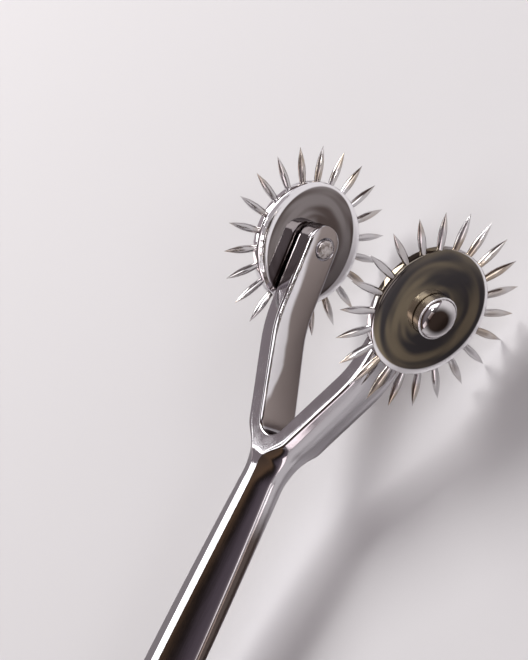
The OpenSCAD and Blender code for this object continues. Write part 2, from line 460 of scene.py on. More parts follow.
@dataclass(frozen=True)
class PolishedChrome(MetalFinish):
    """Chrome plate over a forged and hand-polished body.

    The plate is a true mirror. The eye reads the slow unevenness of the forging under it, fine
    polishing lines along the handle, and edges that are a little duller from use. Reflections can
    also be painted into its colour: a grey-brown one at the back of the arms' inner walls and a
    dark one on the handle's sides.

    Attributes:
        colour: Reflection of the plate, as an sRGB hex colour.
        worn: Reflection where the polish is thin.
        worn_edge: Pointiness between which an edge goes from fresh to worn.
        patch_mm: Size of the patches of finer and coarser polish.
        patch_noise: Noise between which such a patch goes from fine to coarse.
        roughness: Roughness of a fine and of a coarse patch.
        wave_mm: Size of the slow unevenness.
        wave_stretch: Times that a wave is longer along the handle.
        wave_height_mm: Height of the slow unevenness.
        line_mm: Spacing of the polishing lines across the handle. Real ones are finer, at 0.02 mm.
        line_stretch: Times that a line is longer along the handle.
        line_height_mm: Height of the polishing lines.
        stain: Painted grey-brown reflection at the back of the inner walls, or nothing where there is none.
        stain_z: Heights between which that painted reflection fades out towards the front.
        stain_x: Place where it reaches least far to the front.
        stain_rise: Its rise for each millimetre towards the ears, and towards the crotch.
        stain_noise: Noise between which its border goes from its lowest to its highest.
        stain_wave: Height by which the border wanders up and down.
        grip: Painted dark reflection on the sides of the handle, or nothing where there is none.
        grip_z: Heights over the middle between which that painted reflection fades out.
        grip_x: Places between which it fades out towards the neck.
        middle_z: Height of the middle.
    """

    name: str = "polished_chrome"
    colour: str = "#CBC9CC"
    worn: str = "#B9B3AF"
    worn_edge: Point2 = (0.5, 0.62)
    patch_mm: float = 2.857
    patch_noise: Point2 = (0.35, 0.7)
    roughness: Point2 = (0.035, 0.1)
    wave_mm: float = 5.0
    wave_stretch: float = 4.0
    wave_height_mm: float = 0.036
    line_mm: float = 0.12
    line_stretch: float = 25.0
    line_height_mm: float = 0.0024
    stain: str = ""
    stain_z: Point2 = (0.2, 1.2)
    stain_x: float = -19.0
    stain_rise: Point2 = (0.075, 0.45)
    stain_noise: Point2 = (0.3, 0.7)
    stain_wave: float = 0.8
    grip: str = ""
    grip_z: Point2 = (0.75, 1.15)
    grip_x: Point2 = (-46.0, -38.0)
    middle_z: float = 0.0

    def patterns(self, tree: NodeTree, at: Node) -> Patterns:
        """Draws worn edges and films, patches of polish, slow waves and polishing lines.

        Args:
            tree: Node tree that takes the nodes.
            at: Coordinates in millimetres.

        Returns:
            The patterns.
        """
        long_waves, long_lines = (
            add_node(tree, "VectorMath", [at, (1 / stretch, 1.0, 1.0)], operation="MULTIPLY")
            for stretch in (self.wave_stretch, self.line_stretch)
        )
        waves = add_node(tree, "TexNoise", {
            "Vector": long_waves, "Scale": 1 / self.wave_mm, "Detail": 2.0, "Roughness": 0.45,
        })
        lines = add_node(tree, "TexNoise", {
            "Vector": long_lines, "Scale": 1 / self.line_mm, "Detail": 3.0, "Roughness": 0.6,
        })
        patches = add_node(tree, "TexNoise", {"Vector": at, "Scale": 1 / self.patch_mm, "Detail": 4.0})
        rough = add_node(tree, "MapRange", [patches, *self.patch_noise, *self.roughness])
        edge = add_node(tree, "NewGeometry").outputs["Pointiness"]
        wear = add_node(tree, "MapRange", [edge, *self.worn_edge])
        share = add_node(tree, "Math", [wear, patches], operation="MULTIPLY")
        tones = {6: srgb(self.colour), 7: srgb(self.worn)}
        colour = add_node(tree, "Mix", {0: share, **tones}, data_type="RGBA")
        painted_reflections = []
        # Painted grey-brown reflection at the back of the inner walls
        if self.stain:
            painted_reflections.append((self.stain, self.stain_share(tree, at, waves)))
        # Painted dark reflection on the handle's sides
        if self.grip:
            painted_reflections.append((self.grip, self.grip_share(tree, at)))
        # Mixes the painted reflections into the colour
        for painted_tone, share in painted_reflections:
            colour = add_node(tree, "Mix", {0: share, 6: colour, 7: srgb(painted_tone)}, data_type="RGBA")
        return colour, rough, [(waves, self.wave_height_mm), (lines, self.line_height_mm)]

    def stain_share(self, tree: NodeTree, at: Node, waves: Node) -> Node:
        """Share of the painted grey-brown reflection, with a wavy border that rises towards the crotch.

        Args:
            tree: Node tree that takes the nodes.
            at: Coordinates in millimetres.
            waves: The slow unevenness.

        Returns:
            Node of a share from 0 to 1.
        """
        parts = add_node(tree, "SeparateXYZ", [at])
        behind = add_node(tree, "Math", [self.stain_x, parts.outputs["X"]], operation="SUBTRACT")
        to_ears = add_node(tree, "Math", [behind, -self.stain_rise[0]], operation="MULTIPLY")
        to_crotch = add_node(tree, "Math", [behind, self.stain_rise[1]], operation="MULTIPLY")
        rise = add_node(tree, "Math", [to_ears, to_crotch], operation="MAXIMUM")
        lowered = add_node(tree, "Math", [parts.outputs["Z"], rise], operation="SUBTRACT")
        wander = add_node(tree, "MapRange", [waves, *self.stain_noise, -self.stain_wave, self.stain_wave])
        height = add_node(tree, "Math", [lowered, wander], operation="ADD")
        return add_node(tree, "MapRange", [height, *self.stain_z, 1.0, 0.0], interpolation_type="SMOOTHSTEP")

    def grip_share(self, tree: NodeTree, at: Node) -> Node:
        """Share of the painted dark reflection on the sides of the handle, fading out towards ridges and
        neck.

        Args:
            tree: Node tree that takes the nodes.
            at: Coordinates in millimetres.

        Returns:
            Node of a share from 0 to 1.
        """
        parts = add_node(tree, "SeparateXYZ", [at])
        height = add_node(tree, "Math", [parts.outputs["Z"], self.middle_z], operation="SUBTRACT")
        over = add_node(tree, "Math", [height], operation="ABSOLUTE")
        low, behind = (
            add_node(tree, "MapRange", [place, *clears, 1.0, 0.0], interpolation_type="SMOOTHSTEP")
            for place, clears in ((over, self.grip_z), (parts.outputs["X"], self.grip_x))
        )
        return add_node(tree, "Math", [low, behind], operation="MULTIPLY")


@dataclass(frozen=True)
class BurnishedDome(MetalFinish):
    """Top of a rivet's head, with its reflection painted into its colour.

    A painted dark reflection fills the middle and turns to a painted bright reflection towards the edge.

    Attributes:
        clean: Painted bright reflection of the border, as an sRGB hex colour.
        smoky: Painted dark reflection of the middle.
        middle: Middle of the painted dark part, beside the axle.
        clears_mm: Distances from there between which the painted dark turns to the painted bright.
        wave_mm: Size of the slow unevenness.
        wave_noise: Noise between which the burnish goes from fine to coarse.
        roughness: Roughness where it is fine and where it is coarse.
        wave_height_mm: Height of the slow unevenness.
    """

    name: str = "burnished_rivet_dome"
    clean: str = "#E9E7E8"
    smoky: str = "#3A302B"
    middle: Point2 = (-0.15, 0.75)
    clears_mm: Point2 = (1.5, 2.8)
    wave_mm: float = 2.5
    wave_noise: Point2 = (0.35, 0.7)
    roughness: Point2 = (0.03, 0.09)
    wave_height_mm: float = 0.024

    def patterns(self, tree: NodeTree, at: Node) -> Patterns:
        """Draws the painted dark middle with its painted bright border, and the slow waves.

        Args:
            tree: Node tree that takes the nodes.
            at: Coordinates in millimetres.

        Returns:
            The patterns.
        """
        waves = add_node(tree, "TexNoise", {"Vector": at, "Scale": 1 / self.wave_mm, "Detail": 2.0})
        rough = add_node(tree, "MapRange", [waves, *self.wave_noise, *self.roughness])
        # Painted reflection: dark round a point beside the axle, bright towards the edge
        beside = off_axle(tree, at, self.middle)
        border = add_node(tree, "MapRange", [beside, *self.clears_mm], interpolation_type="SMOOTHSTEP")
        tones = {6: srgb(self.smoky), 7: srgb(self.clean)}
        colour = add_node(tree, "Mix", {0: border, **tones}, data_type="RGBA")
        return colour, rough, [(waves, self.wave_height_mm)]


@dataclass(frozen=True)
class TurnedMirror(MetalFinish):
    """Disc turned on a lathe and polished to a mirror.

    The eye sees a mirror with faint rings from the tool and a slow dish, so that straight
    reflections bend a little round the axle. Its colour also paints in reflections: a darkened
    tone with darker bands, and a bright border.

    Attributes:
        colour: Tone of the metal, as an sRGB hex colour, kept dark so that it also paints in a dark
            reflection.
        tarnish: Painted darker reflection, in bands round the axle.
        tarnish_noise: Noise between which a band turns from the metal to that painted reflection.
        band_mm: Width of those bands.
        band_circle: Radius, in cells of the noise, of the circle along which they change round the axle.
        bare: Painted bright reflection along the border.
        bare_mm: Distances from the axle between which the border turns to that painted reflection.
        bare_shift: Middle of the part inside it, beside the axle.
        bare_squeeze: Factor by which that inner part is narrower along each direction.
        patch_mm: Size of the patches of finer and coarser polish.
        patch_noise: Noise between which such a patch goes from fine to coarse.
        roughness: Roughness of a fine and of a coarse patch.
        wave_mm: Size of the slow unevenness.
        wave_height_mm: Height of the slow unevenness.
        ring_mm: Spacing of the turning rings. Real ones are finer, at 0.05 mm.
        ring_height_mm: Height of the turning rings.
    """

    name: str = "turned_mirror_steel"
    colour: str = "#8A8483"
    tarnish: str = "#5A504D"
    tarnish_noise: Point2 = (0.4, 0.63)
    band_mm: float = 2.6
    band_circle: float = 0.55
    bare: str = "#FAF9FB"
    bare_mm: Point2 = (9.7, 10.0)
    bare_shift: Point2 = (0.0, 0.0)
    bare_squeeze: Point2 = (1.0, 1.0)
    patch_mm: float = 2.0
    patch_noise: Point2 = (0.35, 0.7)
    roughness: Point2 = (0.015, 0.06)
    wave_mm: float = 4.545
    wave_height_mm: float = 0.024
    ring_mm: float = 0.35
    ring_height_mm: float = 0.0016

    def patterns(self, tree: NodeTree, at: Node) -> Patterns:
        """Draws bands of painted dark reflection inside a painted bright border, patches of polish, waves
        and turning rings.

        Args:
            tree: Node tree that takes the nodes.
            at: Coordinates in millimetres.

        Returns:
            The patterns.
        """
        radius = off_axle(tree, at)
        rings = add_node(tree, "TexNoise", {
            "W": radius, "Scale": 1 / self.ring_mm, "Detail": 3.0, "Roughness": 0.7,
        }, noise_dimensions="1D")
        waves = add_node(tree, "TexNoise", {"Vector": at, "Scale": 1 / self.wave_mm, "Detail": 1.5})
        patches = add_node(tree, "TexNoise", {"Vector": at, "Scale": 1 / self.patch_mm, "Detail": 5.0})
        rough = add_node(tree, "MapRange", [patches, *self.patch_noise, *self.roughness])
        flat = add_node(tree, "VectorMath", [at, (1.0, 1.0, 0.0)], operation="MULTIPLY")
        turned = add_node(tree, "VectorMath", [flat], operation="NORMALIZE")
        circle = add_node(tree, "VectorMath", {0: turned, "Scale": self.band_circle}, operation="SCALE")
        parts = add_node(tree, "SeparateXYZ", [circle])
        steps = add_node(tree, "Math", [radius, self.band_mm], operation="DIVIDE")
        polar = add_node(tree, "CombineXYZ", [parts.outputs["X"], parts.outputs["Y"], steps])
        # Bands of painted dark reflection round the axle
        bands = add_node(tree, "TexNoise", {
            "Vector": polar, "Scale": 1.0, "Detail": 1.5, "Roughness": 0.45, "Distortion": 0.3,
        })
        share = add_node(tree, "MapRange", [bands, *self.tarnish_noise], interpolation_type="SMOOTHSTEP")
        tones = {6: srgb(self.colour), 7: srgb(self.tarnish)}
        banded = add_node(tree, "Mix", {0: share, **tones}, data_type="RGBA")
        # Painted bright reflection along the border
        reach = off_axle(tree, at, self.bare_shift, self.bare_squeeze)
        border = add_node(tree, "MapRange", [reach, *self.bare_mm], interpolation_type="SMOOTHSTEP")
        colour = add_node(tree, "Mix", {0: border, 6: banded, 7: srgb(self.bare)}, data_type="RGBA")
        return colour, rough, [(waves, self.wave_height_mm), (rings, self.ring_height_mm)]


@dataclass(frozen=True)
class GroundNeedleSteel(MetalFinish):
    """Needle steel ground to a point and polished lengthwise.

    The eye sees bright spindles with fine lines from root to tip, and a straw tint here and there.

    Attributes:
        colour: Reflection of the steel, as an sRGB hex colour.
        straw: Warmer tint left by grinding heat.
        straw_mm: Size of the tinted patches.
        straw_noise: Noise between which the tint sets in.
        straw_most: Largest share of the tint.
        lines_per_turn: Lines round the wheel. Real grinding lines are three times finer.
        line_mm: Spacing of the lines across the wheel's plane.
        line_length_mm: Length of a line.
        line_noise: Noise between which a line goes from fine to coarse.
        roughness: Roughness of a fine and of a coarse line.
        line_height_mm: Height of the lines.
    """

    name: str = "ground_needle_steel"
    colour: str = "#CFCDCE"
    straw: str = "#AE9C84"
    straw_mm: float = 6.25
    straw_noise: Point2 = (0.45, 0.65)
    straw_most: float = 0.75
    lines_per_turn: float = 420.0
    line_mm: float = 0.25
    line_length_mm: float = 4.0
    line_noise: Point2 = (0.3, 0.7)
    roughness: Point2 = (0.08, 0.22)
    line_height_mm: float = 0.01

    def patterns(self, tree: NodeTree, at: Node) -> Patterns:
        """Draws the straw tint and the grinding lines.

        Args:
            tree: Node tree that takes the nodes.
            at: Coordinates in millimetres.

        Returns:
            The patterns.
        """
        parts = add_node(tree, "SeparateXYZ", [at])
        angle = add_node(tree, "Math", [parts.outputs["Y"], parts.outputs["X"]], operation="ARCTAN2")
        round_wheel, across, along = (
            add_node(tree, "Math", [place, cells], operation="MULTIPLY") for place, cells in (
                (angle, self.lines_per_turn / (2 * math.pi)),
                (parts.outputs["Z"], 1 / self.line_mm),
                (off_axle(tree, at), 1 / self.line_length_mm),
            )
        )
        cells = add_node(tree, "CombineXYZ", [round_wheel, across, along])
        lines = add_node(tree, "TexNoise", {"Vector": cells, "Scale": 1.0, "Detail": 2.0})
        tint = add_node(tree, "TexNoise", {"Vector": at, "Scale": 1 / self.straw_mm, "Detail": 2.0})
        share = add_node(tree, "MapRange", [tint, *self.straw_noise, 0.0, self.straw_most])
        tones = {6: srgb(self.colour), 7: srgb(self.straw)}
        colour = add_node(tree, "Mix", {0: share, **tones}, data_type="RGBA")
        rough = add_node(tree, "MapRange", [lines, *self.line_noise, *self.roughness])
        return colour, rough, [(lines, self.line_height_mm)]


@dataclass(frozen=True)
class HammeredSteel(MetalFinish):
    """Rivet end that was peened over with a small hammer.

    The eye sees a pale, dimpled and slightly dull disc, with soft grey patches.

    Attributes:
        colour: Reflection of the steel, as an sRGB hex colour.
        dull: Reflection in the dimples.
        dull_noise: Noise between which a dimple goes from dull to pale.
        dimple_mm: Distance between the hammer marks.
        dimple_noise: Noise between which the roughness changes.
        roughness: Roughness in the dimples and between them.
        dimple_height_mm: Height of the hammer marks.
    """

    name: str = "hammered_rivet_steel"
    colour: str = "#CFC9C7"
    dull: str = "#958C87"
    dull_noise: Point2 = (0.38, 0.6)
    dimple_mm: float = 0.75
    dimple_noise: Point2 = (0.35, 0.65)
    roughness: Point2 = (0.32, 0.18)
    dimple_height_mm: float = 0.1

    def patterns(self, tree: NodeTree, at: Node) -> Patterns:
        """Draws the hammer marks.

        Args:
            tree: Node tree that takes the nodes.
            at: Coordinates in millimetres.

        Returns:
            The patterns.
        """
        dents = add_node(tree, "TexNoise", {
            "Vector": at, "Scale": 1 / self.dimple_mm, "Detail": 2.0, "Roughness": 0.55,
        })
        share = add_node(tree, "MapRange", [dents, *self.dull_noise])
        tones = {6: srgb(self.dull), 7: srgb(self.colour)}
        colour = add_node(tree, "Mix", {0: share, **tones}, data_type="RGBA")
        rough = add_node(tree, "MapRange", [dents, *self.dimple_noise, *self.roughness])
        return colour, rough, [(dents, self.dimple_height_mm)]


@dataclass(frozen=True)
class RubbedSteel(MetalFinish):
    """Thin spring-steel washer, punched out and rubbed bright by the turning wheel.

    The eye sees a dull ring with circular rub lines and darker, oily patches.

    Attributes:
        colour: Reflection of the rubbed steel, as an sRGB hex colour.
        oiled: Reflection where old oil darkens it.
        oil_mm: Size of the oily patches.
        oil_noise: Noise between which a patch goes from oiled to rubbed.
        line_mm: Spacing of the rub lines. Real ones are finer, at 0.03 mm.
        line_noise: Noise between which a line goes from fine to coarse.
        roughness: Roughness of a fine and of a coarse line.
        line_height_mm: Height of the rub lines.
    """

    name: str = "rubbed_washer_steel"
    colour: str = "#A9A7A6"
    oiled: str = "#5B534B"
    oil_mm: float = 1.111
    oil_noise: Point2 = (0.4, 0.62)
    line_mm: float = 0.1
    line_noise: Point2 = (0.3, 0.7)
    roughness: Point2 = (0.25, 0.45)
    line_height_mm: float = 0.01

    def patterns(self, tree: NodeTree, at: Node) -> Patterns:
        """Draws the oily patches and the rub lines.

        Args:
            tree: Node tree that takes the nodes.
            at: Coordinates in millimetres.

        Returns:
            The patterns.
        """
        lines = add_node(tree, "TexNoise", {
            "W": off_axle(tree, at), "Scale": 1 / self.line_mm, "Detail": 2.0,
        }, noise_dimensions="1D")
        patches = add_node(tree, "TexNoise", {"Vector": at, "Scale": 1 / self.oil_mm, "Detail": 4.0})
        share = add_node(tree, "MapRange", [patches, *self.oil_noise])
        tones = {6: srgb(self.oiled), 7: srgb(self.colour)}
        colour = add_node(tree, "Mix", {0: share, **tones}, data_type="RGBA")
        rough = add_node(tree, "MapRange", [lines, *self.line_noise, *self.roughness])
        return colour, rough, [(lines, self.line_height_mm)]


# The forging


@dataclass(frozen=True)
class Station:
    """One section through the left half of the forging, along a line seen from the front.

    Attributes:
        outer: Point on the outline of the outer side.
        inward: Direction of the line into the steel.
        facet_run: Distance from the outer side to the ridge beside the front.
        front: Half thickness at that ridge.
        side: Half height of the side.
        side_r: Radius between the facet and the side.
        side_crown: Crown of the side.
        bulge: Distance that the side stands out from the outline.
        crown: Crown of the facet.
        roll: Width of the softly polished border of the front.
    """

    outer: Vector
    inward: Vector
    facet_run: float
    front: float
    side: float
    side_r: float
    side_crown: float
    bulge: float
    crown: float
    roll: float


@dataclass
class ForkHandle:
    """Handle, neck, arms and ears: one drop forging, ground flat in front and behind, then chromed.

    The section is an eight-sided bar in the handle. Its facets run on into the arms, where they
    narrow to the rounded outer sides.
    """

    # Eight-sided bar, with one long curve from its widest place to the neck and one to the butt
    axle_to_butt: float = 173.98
    handle_w: float = 13.3
    handle_t: float = 8.188
    swell_reach: float = 100.0
    strip_w: float = 1.7
    facet_angle: float = 30.0
    side_r: float = 800.0
    strip_r: float = 2000.0
    tail_side_r: float = 1800.0
    tail_strip_r: float = 5000.0
    butt_corner_r: float = 4.0
    butt_edge_r: float = 2.6
    least_side: float = 0.25
    least_strip: float = 0.1

    # Neck, and the hollow in which the bar rises to the flat front of the fork
    neck_r: float = 14.0
    cove_reach: float = 36.0
    cove_length: float = 4.0
    cove_edge_r: float = 1.5
    strip_lift: float = 0.0014
    lift_length: float = 5.0
    lean_length: float = 8.0

    # Arms and ears
    arm_t: float = 3.5
    arm_depth: float = 7.5
    ear_depth: float = 6.6
    ear_reach: float = 4.0
    arm_angle: float = 27.5
    crotch_reach: float = 28.9
    crotch_r: float = 3.3
    bend_r: float = 17.0
    axle_set_back: float = 0.45
    disc_gap: float = 31.3
    splay: float = 6.35
    ear_gap: float = 0.35

    # Facets and sides, which change along the neck and along the bend
    neck_facet_run: float = 0.5
    arm_facet_run: float = 0.3
    handle_side_r: float = 0.45
    arm_side: float = 1.6
    arm_side_r: float = 4.0
    arm_bulge: float = 0.55
    ear_side: float = 2.6
    ear_side_r: float = 1.2
    facet_fade: Point2 = (-34.3, -28.8)
    facet_end: float = -17.0
    bend_lead: float = 3.0
    bend_lag: float = 2.0

    # Crowns of the polished faces. That of the handle's sides is a share of their half height
    handle_side_crown: float = 0.27
    arm_side_crown: float = 0.05
    handle_crown: float = 0.05
    inner_crown: float = 0.06

    # Ridges and softly polished borders
    ridge_r: float = 0.35
    arm_ridge_r: float = 0.5
    handle_roll: float = 0.12
    arm_roll: float = 0.65
    roll_r: float = 5.0
    roll_slope: float = 0.12
    inner_edge_r: float = 0.45
    inner_roll: tuple[Point2, ...] = ((-40.0, 0.4), (-24.0, 0.4), (-14.0, 0.55), (5.0, 0.6))
    inner_slope: float = 0.5
    inner_roll_r: float = 1.2

    # Rivet's hole and the groove round its peened end
    shank_d: float = 3.1
    shank_gap: float = 0.02
    groove_d: float = 3.9
    groove_depth: float = 0.4
    groove_foot: float = 0.05
    groove_flare: float = 0.1
    cut_before: float = 2.0
    cut_past: float = 1.0

    # Runs that only give a direction, the rim of a filled flat, and rounds in which a ridge is found
    guide_run: float = 1.5
    flat_inset: float = 0.06
    ridge_rounds: int = 6

    # Shares of a run that get a point, segments of a corner, and sections of each stretch
    flats: tuple[float, ...] = (0.08, 0.28, 0.5, 0.72, 0.92)
    front_shares: Point2 = (0.12, 0.88)
    strip_shares: Point2 = (0.33, 0.66)
    corner_steps: int = 6
    butt_rows: int = 12
    bar_rows: int = 40
    neck_rows: int = 32
    arm_rows: int = 8
    bend_rows: int = 12
    ear_rows: int = 6
    ear_end_rows: int = 28
    crotch_rows: int = 10
    hole_rows: int = 48

    # Which faces are the inner walls: from here on, facing the other arm, and nearly upright
    wall_from: float = 0.5
    wall_facing: float = 0.5
    wall_lean: float = 0.3

    # Lines of the left arm in the plane of the fork

    def __post_init__(self) -> None:
        """Works out the lines and centres that the sections follow."""
        self.slope = math.radians(self.facet_angle)
        self.flat_x = self.cove_length - self.cove_reach
        self.ear_x = self.ear_reach - self.ear_depth / 2
        self.arm_dir, self.arm_normal = heading(self.arm_angle), heading(self.arm_angle + 90)
        self.ear_dir, self.ear_normal = heading(self.splay), heading(self.splay + 90)
        self.crotch_centre = Vector((self.crotch_r - self.crotch_reach, 0.0))
        self.arm_start = self.crotch_centre + (self.crotch_r + self.arm_t) * self.arm_normal
        arm_outer = self.arm_start.dot(self.arm_normal)
        arm_middle = arm_outer - self.arm_t / 2
        ear_middle = self.disc_gap / 2 * self.ear_normal.y - self.ear_gap - self.arm_t / 2
        bend_corner = Vector((
            arm_middle * self.ear_normal.y - ear_middle * self.arm_normal.y,
            self.arm_normal.x * ear_middle - self.ear_normal.x * arm_middle,
        )) / self.arm_normal.cross(self.ear_normal)
        tangent = self.bend_r * math.tan(math.radians(self.arm_angle - self.splay) / 2)
        self.bend_start = bend_corner - tangent * self.arm_dir
        self.bend_end = bend_corner + tangent * self.ear_dir
        self.bend_centre = self.bend_start - self.bend_r * self.arm_normal
        self.ear_run = (self.ear_x - self.bend_end.x) / self.ear_dir.x
        side_centre = Vector((-self.swell_reach, self.handle_w / 2 - self.side_r))
        foot = (arm_outer + self.neck_r) * self.arm_normal
        both_r = self.side_r + self.neck_r
        b = (foot - side_centre).dot(self.arm_dir)
        c = (foot - side_centre).length_squared - both_r ** 2
        self.neck_centre = foot + (math.sqrt(b * b - c) - b) * self.arm_dir
        self.side_touch = side_centre + self.side_r / both_r * (self.neck_centre - side_centre)

    # Long curves of the bar

    def long_half(
        self, half: float, neck_curve: float, tail_curve: float, corner_r: float, x: float
    ) -> float:
        """Half size of the bar at x, with the butt's corner rounded.

        Args:
            half: Half size at the widest place.
            neck_curve: Radius of the long curve towards the neck.
            tail_curve: Radius of the long curve towards the butt.
            corner_r: Radius of the butt's corner.
            x: Place along the handle.

        Returns:
            The half size.
        """
        radius = tail_curve if x < -self.swell_reach else neck_curve
        corner_x = corner_r - self.axle_to_butt
        held_x = max(x, corner_x)
        value = half - radius + math.sqrt(radius ** 2 - (held_x + self.swell_reach) ** 2)
        if x < corner_x:
            value -= corner_r - math.sqrt(max(0.0, corner_r ** 2 - (x - corner_x) ** 2))
        return value

    def side_half(self, x: float) -> float:
        """Half width of the handle at x."""
        return self.long_half(self.handle_w / 2, self.side_r, self.tail_side_r, self.butt_corner_r, x)

    def facet_half(self, x: float) -> float:
        """Half size across a pair of the handle's broad facets.

        Args:
            x: Place along the handle.

        Returns:
            The half size.
        """
        flatness = math.cos(self.slope)
        half = self.strip_w / 2 * math.sin(self.slope) + self.handle_t / 2 * flatness
        curves = (self.strip_r / flatness, self.tail_strip_r / flatness)
        return self.long_half(half, *curves, self.butt_edge_r, x)

    def front_half(self, x: float) -> float:
        """Half thickness: the bar, the hollow, and the fork that thins towards the ears.

        Args:
            x: Place along the handle.

        Returns:
            The half thickness.
        """
        held_x = min(x, -self.cove_reach)
        bar = self.long_half(self.handle_t / 2, self.strip_r, self.tail_strip_r, self.butt_edge_r, held_x)
        bar += self.strip_lift * max(0.0, held_x + self.cove_reach + self.lift_length) ** 2
        run = x + self.cove_reach
        if run <= 0:
            return bar
        if run >= self.cove_length:
            share = min(1.0, (run - self.cove_length) / (self.ear_x - self.flat_x))
            return mix(self.arm_depth, self.ear_depth, share) / 2
        rise = self.arm_depth / 2 - bar
        both = (self.cove_length ** 2 + rise ** 2) / (2 * rise)
        hollow = both - self.cove_edge_r
        if run < self.cove_length * hollow / both:
            return bar + hollow - math.sqrt(hollow ** 2 - run ** 2)
        crest = math.sqrt(self.cove_edge_r ** 2 - (self.cove_length - run) ** 2)
        return bar + rise - self.cove_edge_r + crest

    # Sections from the butt to the ear

    def bar_station(self, x: float, inward: Vector) -> Station:
        """Section through the eight-sided bar.

        Args:
            x: Place of its outer point.
            inward: Direction of the section's line.

        Returns:
            The station.
        """
        rise, flatness = math.sin(self.slope), math.cos(self.slope)
        outer = Vector((x, self.side_half(x)))
        run = outer.y - self.strip_w / 2
        for _ in range(self.ridge_rounds):
            held = min((outer + inward * run).x, -self.cove_reach)
            ridge_y = (self.facet_half(held) - self.front_half(held) * flatness) / rise
            run = (outer.y - max(self.least_strip, ridge_y)) / -inward.y
        side = max(self.least_side, (self.facet_half(x) - outer.y * rise) / flatness)
        return Station(
            outer, inward, run, self.front_half((outer + inward * run).x), side, self.handle_side_r,
            self.handle_side_crown * side, 0.0, self.handle_crown, self.handle_roll,
        )

    def handle_stations(self) -> list[Station]:
        """Sections of the handle, which lean into the hollow of the neck at its end.

        Returns:
            The stations from the butt to the neck.
        """
        start, end = -self.axle_to_butt, self.side_touch.x
        round_end = start + self.butt_corner_r
        turns = [math.radians(90 * k / self.butt_rows) for k in range(self.butt_rows)]
        places = [mix(round_end, start, math.cos(turn)) for turn in turns]
        places += [mix(round_end, end, k / self.bar_rows) for k in range(self.bar_rows + 1)]
        touch_dir = (self.side_touch - self.neck_centre).normalized()
        stations = []
        for x in places:
            lean = touch_dir.x * smooth_ramp(x, end - self.lean_length, end)
            stations.append(self.bar_station(x, Vector((lean, -1.0)).normalized()))
        return stations

    def neck_stations(self) -> list[Station]:
        """Sections round the hollow of the neck, up to the first whole section of the arm.

        Returns:
            The stations from the handle to the arm.
        """
        touch = self.side_touch - self.neck_centre
        foot = self.bar_station(self.side_touch.x, touch.normalized())
        start, end = math.degrees(math.atan2(touch.y, touch.x)), self.arm_angle - 90
        turns = [heading(mix(start, end, k / self.neck_rows)) for k in range(1, self.neck_rows + 1)]
        lines = [(self.neck_centre + self.neck_r * turn, turn) for turn in turns]
        lines.append((self.arm_start, -self.arm_normal))
        return [self.fading_station(outer, inward, foot) for outer, inward in lines]

    def fading_station(self, outer: Vector, inward: Vector, foot: Station) -> Station:
        """Section where the facets of the bar narrow to the rounded side of the arm.

        Args:
            outer: Point on the outline.
            inward: Direction of the section's line.
            foot: The last section of the handle.

        Returns:
            The station.
        """
        share = smooth_ramp(outer.x, *self.facet_fade)
        run = mix(foot.facet_run, self.neck_facet_run, share)
        bend = smooth_ramp(outer.x, self.side_touch.x, self.facet_fade[1])
        return Station(
            outer, inward, run, self.front_half((outer + inward * run).x),
            mix(foot.side, self.arm_side, bend), mix(foot.side_r, self.arm_side_r, share),
            mix(foot.side_crown, self.arm_side_crown, bend), mix(0.0, self.arm_bulge, bend),
            mix(foot.crown, 0.0, share), mix(foot.roll, self.arm_roll, share),
        )

    def arm_stations(self) -> list[Station]:
        """Whole sections from the crotch along the arm and its bend to the middle of the ear's end.

        Returns:
            The stations of the arm.
        """
        half_t = self.arm_t / 2
        bend = self.bend_start + half_t * self.arm_normal
        shares = [k / self.arm_rows for k in range(self.arm_rows)]
        lines = [(self.arm_start.lerp(bend, share), self.arm_normal) for share in shares]
        for k in range(self.bend_rows + 1):
            out = heading(mix(self.arm_angle, self.splay, k / self.bend_rows) + 90)
            lines.append((self.bend_centre + (self.bend_r + half_t) * out, out))
        foot = self.bend_end + half_t * self.ear_normal
        step = self.ear_dir * self.ear_run / self.ear_rows
        lines += [(foot + step * k, self.ear_normal) for k in range(1, self.ear_rows + 1)]
        stations = []
        for outer, out in lines:
            share = smooth_ramp(outer.x, self.bend_start.x - self.bend_lead, self.bend_end.x + self.bend_lag)
            narrow = smooth_ramp(outer.x, self.facet_fade[1], self.facet_end)
            run = mix(self.neck_facet_run, self.arm_facet_run, narrow)
            stations.append(Station(
                outer, -out, run, self.front_half((outer - out * run).x),
                mix(self.arm_side, self.ear_side, share), mix(self.arm_side_r, self.ear_side_r, share),
                mix(self.arm_side_crown, 0.0, share), mix(self.arm_bulge, 0.0, share), 0.0, self.arm_roll,
            ))
        return stations

    # Points of a section

    def lift(self, at: Vector, z: float, half: float | None = None) -> Vector:
        """Point at a height above the forging's middle plane.

        Args:
            at: Place in the plane of the fork.
            z: Height in a section whose half thickness is half.
            half: Half thickness that z was made for, or None where z holds as it is.

        Returns:
            The point in the fork's frame.
        """
        if half is not None and at.x > self.flat_x:
            z *= self.front_half(at.x) / half
        return Vector((at.x, 0.0 if abs(at.y) < MERGE_MM else at.y, z + self.axle_set_back))

    def outer_chain(self, station: Station) -> list[Vector]:
        """Outer side of a section, from the front round to the back.

        Args:
            station: The section.

        Returns:
            Its points in the fork's frame.
        """
        run, front = station.facet_run, station.front
        foot = station.bulge - station.side_crown
        side = station.side + station.side_crown * math.tan(self.slope)
        border, ridge = -run - station.roll, front - station.roll * self.roll_slope
        half = [(border - self.guide_run, front), (border, front), (-run, ridge), (foot, side)]
        corners = half + [(across, -z) for across, z in reversed(half)]
        ridge_r = mix(self.ridge_r, self.arm_ridge_r, smooth_ramp(station.outer.x, *self.facet_fade))
        radii = [self.roll_r, ridge_r, station.side_r, station.side_r, ridge_r, self.roll_r]
        crowns = [0.0, station.crown, station.side_crown, station.crown, 0.0]
        chain = rounded_chain(corners, radii, crowns, self.corner_steps, self.flats)
        return [self.lift(station.outer - station.inward * across, z, front) for across, z in chain]

